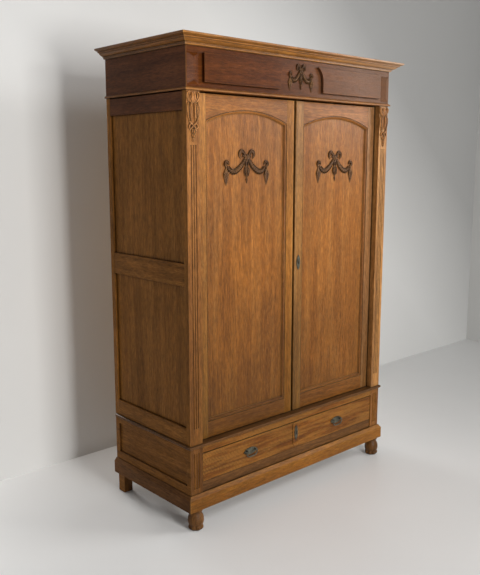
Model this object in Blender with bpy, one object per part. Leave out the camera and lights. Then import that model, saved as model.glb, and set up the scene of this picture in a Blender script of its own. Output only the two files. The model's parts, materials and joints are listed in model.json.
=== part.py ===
"""Two-door oak armoire on a drawer base, as separate joinery pieces.

Metres, +Z up. The front faces -Y, and the origin is on the floor under the middle of the
whole piece. Most outlines are given as distances from the corner of the case: `inward`
runs from the outer face of a side towards the middle, `deep` runs back from the front
face, and `out` runs outward from the faces of the case, for mouldings.
"""

import math

import bmesh
import bpy

# Driving dimensions
HEIGHT = 2.060
CASE_WIDTH = 1.294
CASE_DEPTH = 0.576
OVERHANG = 0.053

FOOT_TOP = 0.094
FOOT_X = {"left": -0.608, "right": 0.623}
FOOT_Y = -0.2435
PLINTH_TOP = 0.165
WAIST_BOTTOM = 0.372
WAIST_TOP = 0.387
FLOOR_TOP = 0.397
FRIEZE_BOTTOM = 1.852
CORNICE_BOTTOM = 2.019

BOARD = 0.024
POST_WIDTH = 0.066
POST_DEPTH = 0.056
POST_FACE = 0.026
BACK_POST = 0.028
BACK_POST_WIDTH = 0.030
SIDE_RAILS = {"bottom": (0.387, 0.462), "middle": (1.070, 1.165), "top": (1.776, 1.852)}
PANEL_FRONT = 0.010
PANEL_BACK = 0.018
TONGUE = 0.010

DOOR_SET = 0.028
DOOR_THICK = 0.024
DOOR_BOTTOM = 0.390
DOOR_TOP = 1.845
DOOR_OUTER = 0.579
MEETING_GAP = 0.0018
STILE = 0.052
DOOR_OPEN_BOTTOM = 0.462
ARCH_SPRING = 1.741
ARCH_RISE = 0.048
DOOR_PANEL_FRONT = 0.012
DOOR_PANEL_BACK = 0.020
MOULDING = 0.014
PIVOT_INSET = 0.008
PIN_RADIUS = 0.004

DRAWER_HALF = 0.5785
DRAWER_BOTTOM = 0.211
DRAWER_TOP = 0.339
DRAWER_THICK = 0.020
DRAWER_PROUD = 0.003
DRAWER_SIDE = 0.012
DRAWER_DEPTH = 0.500
PULL_X = 0.299
PULL_Z = 0.276
LOCK_Z = 1.110

FLUTE_RADIUS = 0.0035
FLUTE_PITCH = 0.012
LEG_WIDTH = 0.045
LEG_DEPTH = 0.060
FIELD_DEPTH = 0.008
RUNNER_TOP = 0.2115
RUNNER_BOTTOM = 0.182
SILL_SET = 0.004
RAIL_GAP = 0.0045

PLATE_THICK = 0.0022
EAR = 0.042
PLATE_HALF_HEIGHT = 0.019
KNUCKLE_X = 0.024
BAIL_DROP = 0.026
BAIL_RADIUS = 0.0026
BAIL_FORWARD = 0.0095

RAIL_Y = 0.020
RAIL_Z = 1.812
RAIL_RADIUS = 0.014
CARVING_TOP = 1.848
CARVING_TIP = 1.648

FIELD_PROUD = 0.014
FIELD_LOW = 1.884
FIELD_HIGH = 1.995
FIELD_END = 0.564
PLAQUE_HALF = 0.138
PLAQUE_CURVE = 0.070
PLAQUE_SPRING = 1.935
PRISM = (0.004, 0.062)
PRISM_HEIGHTS = (1.872, 1.993)
PRISM_PROUD = 0.010
PRISM_HIP = 0.017
SWAG_LIFT = 0.006

GAP = 0.0003
MITRE = 0.0002
ROUND = 16

# Worked out from them
HALF = CASE_WIDTH / 2
FRONT = -(CASE_DEPTH - OVERHANG) / 2
BACK = FRONT + CASE_DEPTH
POST_INNER = HALF - POST_WIDTH
DOOR_FACE = FRONT + DOOR_SET
PIVOT_X = DOOR_OUTER - PIVOT_INSET
PIVOT_Y = DOOR_FACE + PIVOT_INSET
SIDES = {"left": -1, "right": 1}

COLOURS = {
    "oak_case": (0.33, 0.20, 0.10),
    "oak_door": (0.42, 0.25, 0.12),
    "oak_dark": (0.20, 0.12, 0.07),
    "oak_gold": (0.50, 0.31, 0.14),
    "oak_inner": (0.52, 0.38, 0.22),
    "old_brass": (0.22, 0.23, 0.19),
    "iron": (0.12, 0.11, 0.10),
}


def clear_scene():
    for obj in list(bpy.data.objects):
        bpy.data.objects.remove(obj, do_unlink=True)


def material(name, finish):
    metal = finish in ("old_brass", "iron")
    made = bpy.data.materials.new(name)
    made.use_nodes = True
    shader = made.node_tree.nodes["Principled BSDF"]
    shader.inputs["Base Color"].default_value = (*COLOURS[finish], 1)
    shader.inputs["Roughness"].default_value = 0.45 if metal else 0.55
    shader.inputs["Metallic"].default_value = 0.9 if metal else 0.0
    return made


def finish_mesh(name, bm, finish, origin=(0, 0, 0), smooth=False):
    """Makes the object, with its own origin moved to `origin` when it has one."""
    bmesh.ops.recalc_face_normals(bm, faces=bm.faces)
    bmesh.ops.translate(bm, verts=bm.verts, vec=[-value for value in origin])
    mesh = bpy.data.meshes.new(name)
    bm.to_mesh(mesh)
    bm.free()
    mesh.materials.append(material(name, finish))
    obj = bpy.data.objects.new(name, mesh)
    obj.location = origin
    bpy.context.scene.collection.objects.link(obj)
    if smooth:
        mesh.shade_smooth()
        mesh.set_sharp_from_angle(angle=math.radians(35))
    return obj


def loft(name, loops, finish, **options):
    """A closed solid through loops of equally many points, with a flat cap at each end."""
    bm = bmesh.new()
    rings = [[bm.verts.new(point) for point in loop] for loop in loops]
    count = len(rings[0])
    for low, high in zip(rings, rings[1:]):
        for i in range(count):
            j = (i + 1) % count
            bm.faces.new((low[i], low[j], high[j], high[i]))
    bm.faces.new(rings[0])
    bm.faces.new(rings[-1])
    return finish_mesh(name, bm, finish, **options)


def box(name, low, high, finish, **options):
    corners = [(low[0], low[1]), (high[0], low[1]), (high[0], high[1]), (low[0], high[1])]
    loops = [[(x, y, z) for x, y in corners] for z in (low[2], high[2])]
    return loft(name, loops, finish, **options)


def upright(name, outline, low, high, finish, **options):
    """A piece whose (x, y) outline runs up from `low` to `high`."""
    return loft(name, [[(x, y, z) for x, y in outline] for z in (low, high)], finish, **options)


def plate(name, outline, near, far, finish, **options):
    """A piece whose (x, z) outline runs back from y `near` to y `far`."""
    return loft(name, [[(x, y, z) for x, z in outline] for y in (near, far)], finish, **options)


def front_run(name, profile, finish):
    """A moulding across the front from (out, z) points, mitred at both corners."""
    loops = [
        [(side * (HALF + out - MITRE), FRONT - out, z) for out, z in profile] for side in (-1, 1)
    ]
    return loft(name, loops, finish)


def side_run(name, profile, side, finish):
    """The same moulding along one side: mitred at the front, square at the back."""
    mitred = [(side * (HALF + out), FRONT - out + MITRE, z) for out, z in profile]
    square = [(side * (HALF + out), BACK, z) for out, z in profile]
    return loft(name, [mitred, square], finish)


def arc(centre, radius, start, end, steps):
    """Points on a circle from angle `start` to angle `end`, in degrees."""
    turns = [math.radians(start + (end - start) * i / steps) for i in range(steps + 1)]
    return [(centre[0] + radius * math.cos(t), centre[1] + radius * math.sin(t)) for t in turns]


def turned(name, profile, centre, finish, **options):
    """A solid turned about a vertical line from (radius, z) points."""
    loops = [
        [(x, y, z) for x, y in arc(centre, radius, 0, 360 - 360 / ROUND, ROUND - 1)]
        for radius, z in profile
    ]
    return loft(name, loops, finish, smooth=True, **options)


def rod(name, radius, start, end, finish, **options):
    """A round bar along X between two points of equal y and z."""
    loops = [
        [(x, y, z) for y, z in arc(start[1:], radius, 0, 360 - 360 / ROUND, ROUND - 1)]
        for x in (start[0], end[0])
    ]
    return loft(name, loops, finish, smooth=True, **options)


def combine(obj, other, operation):
    """Cuts `other` from the piece, or joins it on, and keeps it only as a hidden tool."""
    other.hide_render = True
    other.display_type = "WIRE"
    modifier = obj.modifiers.new(other.name, "BOOLEAN")
    modifier.object = other
    modifier.operation = operation
    modifier.solver = "EXACT"


def cut(obj, *tools):
    for tool in tools:
        combine(obj, tool, "DIFFERENCE")


def join(obj, *tools):
    for tool in tools:
        combine(obj, tool, "UNION")


def hang(obj, parent):
    obj.parent = parent
    obj.matrix_parent_inverse = parent.matrix_world.inverted()


def joint_at(name, place):
    """An empty on a joint's axis, to carry the pieces that move about it."""
    empty = bpy.data.objects.new(name, None)
    empty.location = place
    bpy.context.scene.collection.objects.link(empty)
    bpy.context.view_layer.update()
    return empty


# Base


def flutes(name, side, low, high):
    """Three upright half-round grooves in the face of a corner post."""
    made = []
    for i in (-1, 0, 1):
        x = side * (HALF - POST_WIDTH / 2 + i * FLUTE_PITCH)
        outline = arc((x, FRONT), FLUTE_RADIUS, 0, 330, 11)
        made.append(upright(f"cut_{name}_{i + 1}", outline, low, high, "oak_dark"))
    return made


def front_foot(word):
    """A carved foot: pinched neck, round body and a toe line near the floor."""
    profile = [
        (0.024, 0.0),
        (0.032, 0.006),
        (0.0345, 0.016),
        (0.033, 0.026),
        (0.0355, 0.040),
        (0.034, 0.058),
        (0.027, 0.074),
        (0.025, 0.080),
        (0.030, 0.084),
        (0.030, FOOT_TOP - GAP),
    ]
    return turned(f"foot_front_{word}", profile, (FOOT_X[word], FOOT_Y), "oak_case")


def plinth():
    profile = [
        (GAP, FOOT_TOP),
        (0.015, FOOT_TOP),
        (0.015, 0.150),
        (0.003, PLINTH_TOP),
        (GAP, PLINTH_TOP),
    ]
    front_run("plinth_front", profile, "oak_gold")
    for word, side in SIDES.items():
        side_run(f"plinth_{word}", profile, side, "oak_case")


def base_side(word, side):
    """One side of the base: corner post, board with a sunk field, runner and back leg."""

    def span(inner, outer):
        return sorted((side * (HALF - inner), side * (HALF - outer)))

    def part(name, inner, outer, near, far, low, high):
        x = span(inner, outer)
        return box(name, (x[0], FRONT + near, low), (x[1], FRONT + far, high), "oak_case")

    top = WAIST_BOTTOM - GAP
    name = f"base_side_{word}"
    body = part(name, 0, POST_WIDTH, 0, POST_DEPTH, FOOT_TOP, top)
    board = part(f"add_{name}_board", 0, BOARD, 0.020, CASE_DEPTH, FOOT_TOP, top)
    leg = part(
        f"add_{name}_leg", 0, LEG_WIDTH, CASE_DEPTH - LEG_DEPTH, CASE_DEPTH - 0.011, 0, 0.160
    )
    guide = part(f"add_{name}_runner", 0.005, 0.092, 0.050, 0.545, RUNNER_BOTTOM, RUNNER_TOP)
    join(body, board, leg, guide)
    x = span(-0.001, FIELD_DEPTH)
    field = box(
        f"cut_{name}_field",
        (x[0], FRONT + POST_FACE, 0.203),
        (x[1], BACK - BACK_POST, 0.345),
        "oak_case",
    )
    cut(body, field, *flutes(name, side, 0.190, 0.350))


def base():
    for word, side in SIDES.items():
        front_foot(word)
        base_side(word, side)
    plinth()
    inner = POST_INNER - GAP
    box(
        "base_sill",
        (-inner, FRONT + SILL_SET, FOOT_TOP),
        (inner, FRONT + SILL_SET + 0.022, DRAWER_BOTTOM - 0.0025),
        "oak_case",
    )
    box(
        "base_front_rail",
        (-inner, FRONT, DRAWER_TOP + RAIL_GAP),
        (inner, FRONT + 0.022, WAIST_BOTTOM - GAP),
        "oak_case",
    )
    waist = [(0.003, WAIST_BOTTOM), (0.008, 0.376), (0.008, 0.384), (0.005, WAIST_TOP)]
    loops = []
    for out, z in waist:
        x = HALF + out
        loops.append([(-x, FRONT - out, z), (x, FRONT - out, z), (x, BACK - 0.010, z)])
        loops[-1].append((-x, BACK - 0.010, z))
    floor_x = POST_INNER - 0.0005
    near = DOOR_FACE + DOOR_THICK + 0.0025
    far = BACK - BACK_POST - 0.0005
    for z in (WAIST_TOP, FLOOR_TOP):
        loops.append([(-floor_x, near, z), (floor_x, near, z), (floor_x, far, z)])
        loops[-1].append((-floor_x, far, z))
    loft("base_top", loops, "oak_case")


# Drawer


def drawer():
    face = FRONT + 0.002
    proud = face - DRAWER_PROUD
    hub = joint_at("drawer_slide", (0, face, DRAWER_BOTTOM))
    front = box(
        "drawer_front",
        (-DRAWER_HALF, face, DRAWER_BOTTOM),
        (DRAWER_HALF, face + DRAWER_THICK, DRAWER_TOP),
        "oak_case",
    )
    block = [(-0.020, DRAWER_TOP - 0.001), (-0.020, 0.234), (0, 0.2135), (0.020, 0.234)]
    block.append((0.020, DRAWER_TOP - 0.001))
    join(front, plate("add_drawer_block", block, proud, face + 0.004, "oak_case"))

    near = face + DRAWER_THICK + GAP
    far = near + DRAWER_DEPTH
    low = RUNNER_TOP + 0.0008
    high = 0.328
    pieces = [front]
    outer = 0.574
    groove = (low + 0.008, low + 0.0146)
    for word, side in SIDES.items():
        shape = [
            (outer, low),
            (outer, high),
            (outer - DRAWER_SIDE, high),
            (outer - DRAWER_SIDE, groove[1]),
            (outer - 0.007, groove[1]),
            (outer - 0.007, groove[0]),
            (outer - DRAWER_SIDE, groove[0]),
            (outer - DRAWER_SIDE, low),
        ]
        outline = [(side * x, z) for x, z in shape]
        pieces.append(plate(f"drawer_side_{word}", outline, near, far, "oak_inner"))
    inner = outer - DRAWER_SIDE - GAP
    back = box(
        "drawer_back",
        (-inner, far - DRAWER_SIDE, groove[1] + GAP),
        (inner, far, high - 0.010),
        "oak_inner",
    )
    bottom = box(
        "drawer_bottom",
        (-outer + 0.0073, near, groove[0] + GAP),
        (outer - 0.0073, far, groove[1] - GAP),
        "oak_inner",
    )
    pieces += [back, bottom]
    pieces.append(escutcheon("drawer_escutcheon", 0, 0.286, 0.022, 0.078, proud))
    for word, side in SIDES.items():
        pieces += pull(word, side * PULL_X, face)
    for piece in pieces:
        hang(piece, hub)


def escutcheon(name, x, z, width, height, surface):
    """A pointed oval plate with a keyhole through it."""
    steps = 12
    right = [
        (x + width / 2 * math.sin(math.pi * i / steps) ** 0.8, z + height * (i / steps - 0.5))
        for i in range(steps + 1)
    ]
    left = [(2 * x - px, pz) for px, pz in reversed(right[1:-1])]
    near = surface - GAP - PLATE_THICK
    obj = plate(name, right + left, near, surface - GAP, "old_brass")
    radius = 0.0033
    slot = arc((x, z + 0.004), radius, -60, 240, 10)
    slot = [(x - 0.0016, z - 0.010), (x + 0.0016, z - 0.010)] + slot
    cut(obj, plate(f"cut_{name}", slot, surface - 0.01, surface + 0.01, "iron"))
    return obj


def pull(word, x, face):
    """A lozenge back plate with two eyes, and the bail that swings in them."""
    surface = face - GAP
    steps = 10
    top = [
        (x + EAR * math.cos(math.pi * i / steps), PULL_Z + PLATE_HALF_HEIGHT * lozenge(i / steps))
        for i in range(steps + 1)
    ]
    low = [(2 * x - px, 2 * PULL_Z - pz) for px, pz in top[1:-1]]
    near = surface - PLATE_THICK
    back = plate(f"drawer_pull_plate_{word}", top + low, near, surface, "old_brass")
    axis_y = near - BAIL_FORWARD
    axis_z = PULL_Z + 0.004
    for i in (-1, 1):
        eye_x = x + i * KNUCKLE_X
        eye = arc((axis_y, axis_z), 0.0052, 90, 270, 6)
        eye += [(surface - 0.001, axis_z - 0.0052), (surface - 0.001, axis_z + 0.0052)]
        loops = [[(eye_x + step, y, z) for y, z in eye] for step in (-0.003, 0.003)]
        join(back, loft(f"add_eye_{word}_{i + 1}", loops, "old_brass"))
    for i in (-1, 1):
        eye_x = x + i * KNUCKLE_X
        start = (eye_x - 0.004, axis_y, axis_z)
        end = (eye_x + 0.004, axis_y, axis_z)
        cut(back, rod(f"cut_eye_{word}_{i + 1}", BAIL_RADIUS + 0.0005, start, end, "iron"))
    hub = joint_at(f"bail_hinge_{word}", (x, axis_y, axis_z))
    bail = tube(f"drawer_bail_{word}", bail_path(), BAIL_RADIUS, hub.location)
    hang(bail, hub)
    return [back, hub]


def lozenge(t):
    """The lozenge's height along its length: round in the middle, pointed at the ears."""
    return math.sin(math.pi * t) ** 1.6


def bail_path():
    """Half of a rounded bail in (x, z) about its axis, mirrored to the other side."""
    reach = KNUCKLE_X + 0.0075
    corner = 0.006
    half = [(KNUCKLE_X - 0.0035, 0), (reach - 0.003, 0), (reach, -0.003)]
    half += [(reach, -BAIL_DROP + 0.016), (reach - corner, -BAIL_DROP + 0.004)]
    half += [(reach - 0.016, -BAIL_DROP)]
    return half + [(-px, pz) for px, pz in reversed(half)]


def tube(name, path, radius, place):
    """A round bar along an (x, z) path, as a solid whose origin is at `place`."""
    sides = 10
    loops = []
    for i, (px, pz) in enumerate(path):
        before = path[max(i - 1, 0)]
        after = path[min(i + 1, len(path) - 1)]
        way = (after[0] - before[0], after[1] - before[1])
        size = math.hypot(*way)
        across = (-way[1] / size, way[0] / size)
        ring = arc((0, 0), radius, 0, 360 - 360 / sides, sides - 1)
        loops.append(
            [
                (place[0] + px + u * across[0], place[1] + v, place[2] + pz + u * across[1])
                for u, v in ring
            ]
        )
    return loft(name, loops, "old_brass", origin=tuple(place), smooth=True)


# Case


def case_side(word, side):
    """Corner post, back post, three rails and one long panel."""

    def plan(points):
        return [(side * (HALF - inward), FRONT + deep) for inward, deep in points]

    foot = WAIST_TOP + GAP
    head = FRIEZE_BOTTOM - GAP
    lip = TONGUE + GAP
    front_outline = [
        (0, 0),
        (POST_WIDTH, 0),
        (POST_WIDTH, POST_DEPTH - 0.002),
        (BOARD, POST_DEPTH - 0.002),
        (BOARD, POST_FACE),
        (PANEL_BACK, POST_FACE),
        (PANEL_BACK, POST_FACE - lip),
        (PANEL_FRONT, POST_FACE - lip),
        (PANEL_FRONT, POST_FACE),
        (0, POST_FACE),
    ]
    post = upright(f"post_front_{word}", plan(front_outline), foot, head, "oak_case")
    join(post, carving(word, side))
    cut(post, *flutes(f"post_{word}", side, 0.460, 1.640))

    near = CASE_DEPTH - BACK_POST
    back_outline = [
        (0, near),
        (PANEL_FRONT, near),
        (PANEL_FRONT, near + lip),
        (PANEL_BACK, near + lip),
        (PANEL_BACK, near),
        (BACK_POST_WIDTH, near),
        (BACK_POST_WIDTH, CASE_DEPTH),
        (0, CASE_DEPTH),
    ]
    upright(f"post_back_{word}", plan(back_outline), foot, head, "oak_case")

    for level, (low, high) in SIDE_RAILS.items():
        side_rail(word, side, level, low, high)
    panel_x = sorted((side * (HALF - PANEL_FRONT - GAP), side * (HALF - PANEL_BACK + GAP)))
    box(
        f"side_panel_{word}",
        (panel_x[0], FRONT + POST_FACE - TONGUE, SIDE_RAILS["bottom"][1] - TONGUE),
        (panel_x[1], BACK - BACK_POST + TONGUE, SIDE_RAILS["top"][0] + TONGUE),
        "oak_case",
    )


def side_rail(word, side, level, low, high):
    """A rail between the posts. The end rails are grooved, the middle one lies on the panel."""
    lip = TONGUE + GAP
    if level == "middle":
        shape_points = [(0, low), (0, high), (PANEL_FRONT, high), (PANEL_FRONT, low)]
    elif level == "top":
        high -= GAP
        shape_points = [(0, low), (0, high), (BOARD, high), (BOARD, low), (PANEL_BACK, low)]
        shape_points += [(PANEL_BACK, low + lip), (PANEL_FRONT, low + lip), (PANEL_FRONT, low)]
    else:
        low += GAP
        shape_points = [(0, high), (0, low), (BOARD, low), (BOARD, high), (PANEL_BACK, high)]
        shape_points += [(PANEL_BACK, high - lip), (PANEL_FRONT, high - lip), (PANEL_FRONT, high)]
    loops = [
        [(side * (HALF - inward), y, z) for inward, z in shape_points]
        for y in (FRONT + POST_FACE + GAP, BACK - BACK_POST - GAP)
    ]
    rail = loft(f"side_rail_{level}_{word}", loops, "oak_case")
    if level == "top":
        start = (side * (HALF - 0.030), RAIL_Y, RAIL_Z)
        end = (side * (HALF - 0.0115), RAIL_Y, RAIL_Z)
        cut(rail, rod(f"cut_rail_{word}", RAIL_RADIUS + 0.0005, start, end, "oak_inner"))


def carving(word, side):
    """The tapering carved drop at the head of a corner post, as a plain raised shield."""
    middle = POST_WIDTH / 2
    widths = [(0.030, CARVING_TOP), (0.028, 1.760), (0.018, 1.700), (0.003, CARVING_TIP)]

    def outline(shrink):
        right = [(middle + max(width - shrink, 0.001), z) for width, z in widths]
        left = [(middle - max(width - shrink, 0.001), z) for width, z in reversed(widths)]
        return [(side * (HALF - inward), z) for inward, z in right + left]

    loops = []
    for shrink, deep in ((0, 0.004), (0, -0.003), (0.006, -0.008)):
        loops.append([(x, FRONT + deep, z) for x, z in outline(shrink)])
    return loft(f"add_carving_{word}", loops, "oak_gold")


def case():
    for word, side in SIDES.items():
        case_side(word, side)
    reach = HALF - BACK_POST_WIDTH - GAP
    box("back_panel", (-reach, BACK - 0.0095, 0.100), (reach, BACK - 0.001, 2.0187), "oak_inner")
    reach = HALF - 0.012
    rod("hanging_rail", RAIL_RADIUS, (-reach, RAIL_Y, RAIL_Z), (reach, RAIL_Y, RAIL_Z), "oak_inner")


# Doors


def arched_outline(side, inset):
    """The door's panel opening, drawn `inset` inside its edge, as (x, z) points."""
    middle = (MEETING_GAP + DOOR_OUTER) / 2
    half = (DOOR_OUTER - MEETING_GAP) / 2 - STILE
    radius = (half**2 + ARCH_RISE**2) / (2 * ARCH_RISE)
    centre = ARCH_SPRING + ARCH_RISE - radius
    half -= inset
    radius -= inset
    reach = math.degrees(math.asin(half / radius))
    crown = arc((0, centre), radius, 90 - reach, 90 + reach, 14)
    points = [(-half, DOOR_OPEN_BOTTOM + inset), (half, DOOR_OPEN_BOTTOM + inset)] + crown
    return [(side * middle + x, z) for x, z in points]


def door(word, side):
    hub = joint_at(f"door_hinge_{word}", (side * PIVOT_X, PIVOT_Y, DOOR_BOTTOM))
    name = f"door_{word}"

    def from_outer(points):
        return [(side * (DOOR_OUTER - across), DOOR_FACE + deep) for across, deep in points]

    def from_meeting(points):
        return [(side * (MEETING_GAP + across), DOOR_FACE + deep) for across, deep in points]

    # The outer front edge is round about the pivot, so that it clears the post as it turns.
    edge = arc((PIVOT_INSET, PIVOT_INSET), PIVOT_INSET, 180, 270, 5)
    outer = edge + [(STILE, 0), (STILE, DOOR_THICK), (0, DOOR_THICK)]
    outer_stile = upright(
        f"{name}_outer_stile", from_outer(outer), DOOR_BOTTOM, DOOR_TOP, "oak_door"
    )
    if word == "left":
        meeting = [(0, 0.007), (0.009, 0.007), (0.009, 0)]
    else:
        meeting = arc((0.0045, 0.0005), 0.0045, 180, 360, 6)
        meeting += [(0.009, 0.003), (0.0112, 0.003), (0.0112, 0)]
    meeting += [(STILE, 0), (STILE, DOOR_THICK), (0, DOOR_THICK)]
    meeting_stile = upright(
        f"{name}_meeting_stile", from_meeting(meeting), DOOR_BOTTOM, DOOR_TOP, "oak_door"
    )

    opening = arched_outline(side, 0)
    near = DOOR_FACE
    far = DOOR_FACE + DOOR_THICK
    crown = sorted(opening[2:])
    left_x = crown[0][0] + GAP
    right_x = crown[-1][0] - GAP
    crown[0] = (left_x, crown[0][1])
    crown[-1] = (right_x, crown[-1][1])
    top = crown + [(right_x, DOOR_TOP), (left_x, DOOR_TOP)]
    top_rail = plate(f"{name}_top_rail", top, near, far, "oak_door")
    bottom_rail = box(
        f"{name}_bottom_rail",
        (left_x, near, DOOR_BOTTOM),
        (right_x, far, DOOR_OPEN_BOTTOM),
        "oak_door",
    )
    for member in (outer_stile, meeting_stile, top_rail, bottom_rail):
        groove = plate(
            f"cut_{member.name}",
            arched_outline(side, -TONGUE),
            near + DOOR_PANEL_FRONT - GAP,
            near + DOOR_PANEL_BACK + GAP,
            "oak_dark",
        )
        cut(member, groove)

    # The panel carries the sloped moulding that frames it.
    steps = [
        (DOOR_PANEL_BACK, 0.001 - TONGUE),
        (DOOR_PANEL_FRONT, 0.001 - TONGUE),
        (DOOR_PANEL_FRONT, GAP),
        (0.001, GAP),
        (0.001, 0.003),
        (DOOR_PANEL_FRONT - 0.001, MOULDING - 0.001),
        (DOOR_PANEL_FRONT, MOULDING),
    ]
    loops = [[(x, near + deep, z) for x, z in arched_outline(side, inset)] for deep, inset in steps]
    panel = loft(f"{name}_panel", loops, "oak_door")

    middle = side * (MEETING_GAP + DOOR_OUTER) / 2
    surface = near + DOOR_PANEL_FRONT - GAP
    outline = swag_outline(middle, 1.475, 1, 1)
    swag = plate(f"{name}_swag", outline, surface - SWAG_LIFT, surface, "oak_dark")

    for level, low, high in (("low", DOOR_BOTTOM - 0.01, 0.412), ("high", 1.823, DOOR_TOP + 0.01)):
        bore = [(PIN_RADIUS + 0.0004, low), (PIN_RADIUS + 0.0004, high)]
        cut(outer_stile, turned(f"cut_pin_{level}_{word}", bore, (side * PIVOT_X, PIVOT_Y), "iron"))
    pieces = [outer_stile, meeting_stile, top_rail, bottom_rail, panel, swag]
    pieces += lock(word, meeting_stile)
    for piece in pieces:
        hang(piece, hub)


def lock(word, stile):
    """The lock bolt lies back in the right-hand stile and can slide into the left-hand one."""
    deep = DOOR_FACE + 0.0095
    if word == "left":
        low = (-MEETING_GAP - 0.012, deep - 0.0005, LOCK_Z - 0.0105)
        high = (0.01, deep + 0.0085, LOCK_Z + 0.0105)
        cut(stile, box("cut_strike", low, high, "iron"))
        return []
    low = (-0.01, deep - 0.0005, LOCK_Z - 0.0105)
    high = (MEETING_GAP + 0.040, deep + 0.0085, LOCK_Z + 0.0105)
    cut(stile, box("cut_mortise", low, high, "iron"))
    start = MEETING_GAP + 0.0005
    bolt = box(
        "door_lock_bolt",
        (start, deep, LOCK_Z - 0.010),
        (start + 0.034, deep + 0.008, LOCK_Z + 0.010),
        "iron",
        origin=(start, deep, LOCK_Z),
    )
    return [bolt, escutcheon("door_escutcheon", 0.030, LOCK_Z, 0.025, 0.072, DOOR_FACE)]


def swag_outline(middle, low, wide, tall):
    """Bow, two garlands and three drops, drawn for one half and mirrored."""
    half = [
        (0.000, 0.118),
        (0.010, 0.128),
        (0.024, 0.144),
        (0.038, 0.137),
        (0.034, 0.122),
        (0.028, 0.112),
        (0.042, 0.094),
        (0.064, 0.080),
        (0.086, 0.080),
        (0.104, 0.090),
        (0.114, 0.096),
        (0.123, 0.088),
        (0.125, 0.060),
        (0.124, 0.034),
        (0.117, 0.000),
        (0.110, 0.034),
        (0.108, 0.066),
        (0.090, 0.058),
        (0.066, 0.054),
        (0.042, 0.066),
        (0.018, 0.090),
        (0.009, 0.080),
        (0.010, 0.044),
        (0.000, 0.013),
    ]
    points = half + [(-x, z) for x, z in reversed(half[1:-1])]
    return [(middle + x * wide, low + z * tall) for x, z in points]


def pivots():
    """Flanged pins in the waist and under the frieze, on which the doors turn."""
    for word, side in SIDES.items():
        place = (side * PIVOT_X, PIVOT_Y)
        base_z = WAIST_TOP + GAP
        low = [(0.009, base_z), (0.009, base_z + 0.0015), (PIN_RADIUS, base_z + 0.0015)]
        low.append((PIN_RADIUS, base_z + 0.020))
        turned(f"pivot_pin_bottom_{word}", low, place, "iron")
        head_z = FRIEZE_BOTTOM - GAP
        high = [(PIN_RADIUS, head_z - 0.024), (PIN_RADIUS, head_z - 0.0015)]
        high += [(0.009, head_z - 0.0015), (0.009, head_z)]
        turned(f"pivot_pin_top_{word}", high, place, "iron")


# Frieze and cornice


def frieze():
    lip = [(0.009, FRIEZE_BOTTOM), (0.009, 1.858), (0.001, 1.863), (0, 1.866)]
    lip.append((0, CORNICE_BOTTOM - GAP))
    inner = [(-BOARD, CORNICE_BOTTOM - GAP), (-BOARD, FRIEZE_BOTTOM)]
    ledge = [(-BOARD, CORNICE_BOTTOM - GAP), (-BOARD, 1.870), (-0.078, 1.870)]
    ledge.append((-0.078, FRIEZE_BOTTOM))
    front = front_run("frieze_front", lip + ledge, "oak_dark")
    top_angle = math.degrees(math.asin((FIELD_HIGH - PLAQUE_SPRING) / PLAQUE_CURVE))
    for word, side in SIDES.items():
        side_run(f"frieze_{word}", lip + inner, side, "oak_dark")
        centre = (PLAQUE_HALF - PLAQUE_CURVE, PLAQUE_SPRING)
        curve = arc(centre, PLAQUE_CURVE, top_angle, 0, 8)
        field = [(FIELD_END, FIELD_LOW), (FIELD_END, FIELD_HIGH)] + curve
        field.append((PLAQUE_HALF, FIELD_LOW))
        outline = [(side * x, z) for x, z in field]
        near = FRONT - FIELD_PROUD
        raised = plate(f"add_frieze_{word}", outline, near, FRONT + 0.002, "oak_dark")
        join(front, raised, prism(word, side))
    surface = FRONT - GAP
    outline = swag_outline(0, FIELD_LOW, 0.58, 0.76)
    plate("frieze_swag", outline, surface - SWAG_LIFT, surface, "oak_dark")


def prism(word, side):
    """The raised block at each end of the frieze: a low ridge with hipped ends."""
    inner, outer = PRISM
    low, high = PRISM_HEIGHTS
    ridge = (inner + outer) / 2
    corners = [(inner, low), (outer, low), (outer, high), (inner, high)]
    crest = [(ridge - GAP, low + PRISM_HIP), (ridge + GAP, low + PRISM_HIP)]
    crest += [(ridge + GAP, high - PRISM_HIP), (ridge - GAP, high - PRISM_HIP)]
    loops = []
    for points, proud in ((corners, -0.002), (corners, 0.0005), (crest, PRISM_PROUD)):
        loops.append([(side * (HALF - u), FRONT - proud, z) for u, z in points])
    return loft(f"add_prism_{word}", loops, "oak_dark")


def cornice():
    profile = [(-0.012, HEIGHT), (-0.012, CORNICE_BOTTOM), (0.005, CORNICE_BOTTOM)]
    profile += [(0.006, 2.023), (0.011, 2.0245), (0.012, 2.028), (0.018, 2.030)]
    profile += [(0.024, 2.0345), (0.034, 2.042), (0.046, 2.049), (0.048, 2.052)]
    profile += [(OVERHANG, 2.053), (OVERHANG, HEIGHT)]
    front_run("cornice_front", profile, "oak_gold")
    for word, side in SIDES.items():
        side_run(f"cornice_{word}", profile, side, "oak_gold")
    reach = HALF - 0.0123
    low = (-reach, FRONT + 0.0123, CORNICE_BOTTOM)
    box("cap_top", low, (reach, BACK, CORNICE_BOTTOM + 0.014), "oak_inner")


def main():
    clear_scene()
    base()
    drawer()
    case()
    for word, side in SIDES.items():
        door(word, side)
    pivots()
    frieze()
    cornice()


main()
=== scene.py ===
import json
import math
import random

import bmesh
import bpy
from mathutils import Matrix, Vector

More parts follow.
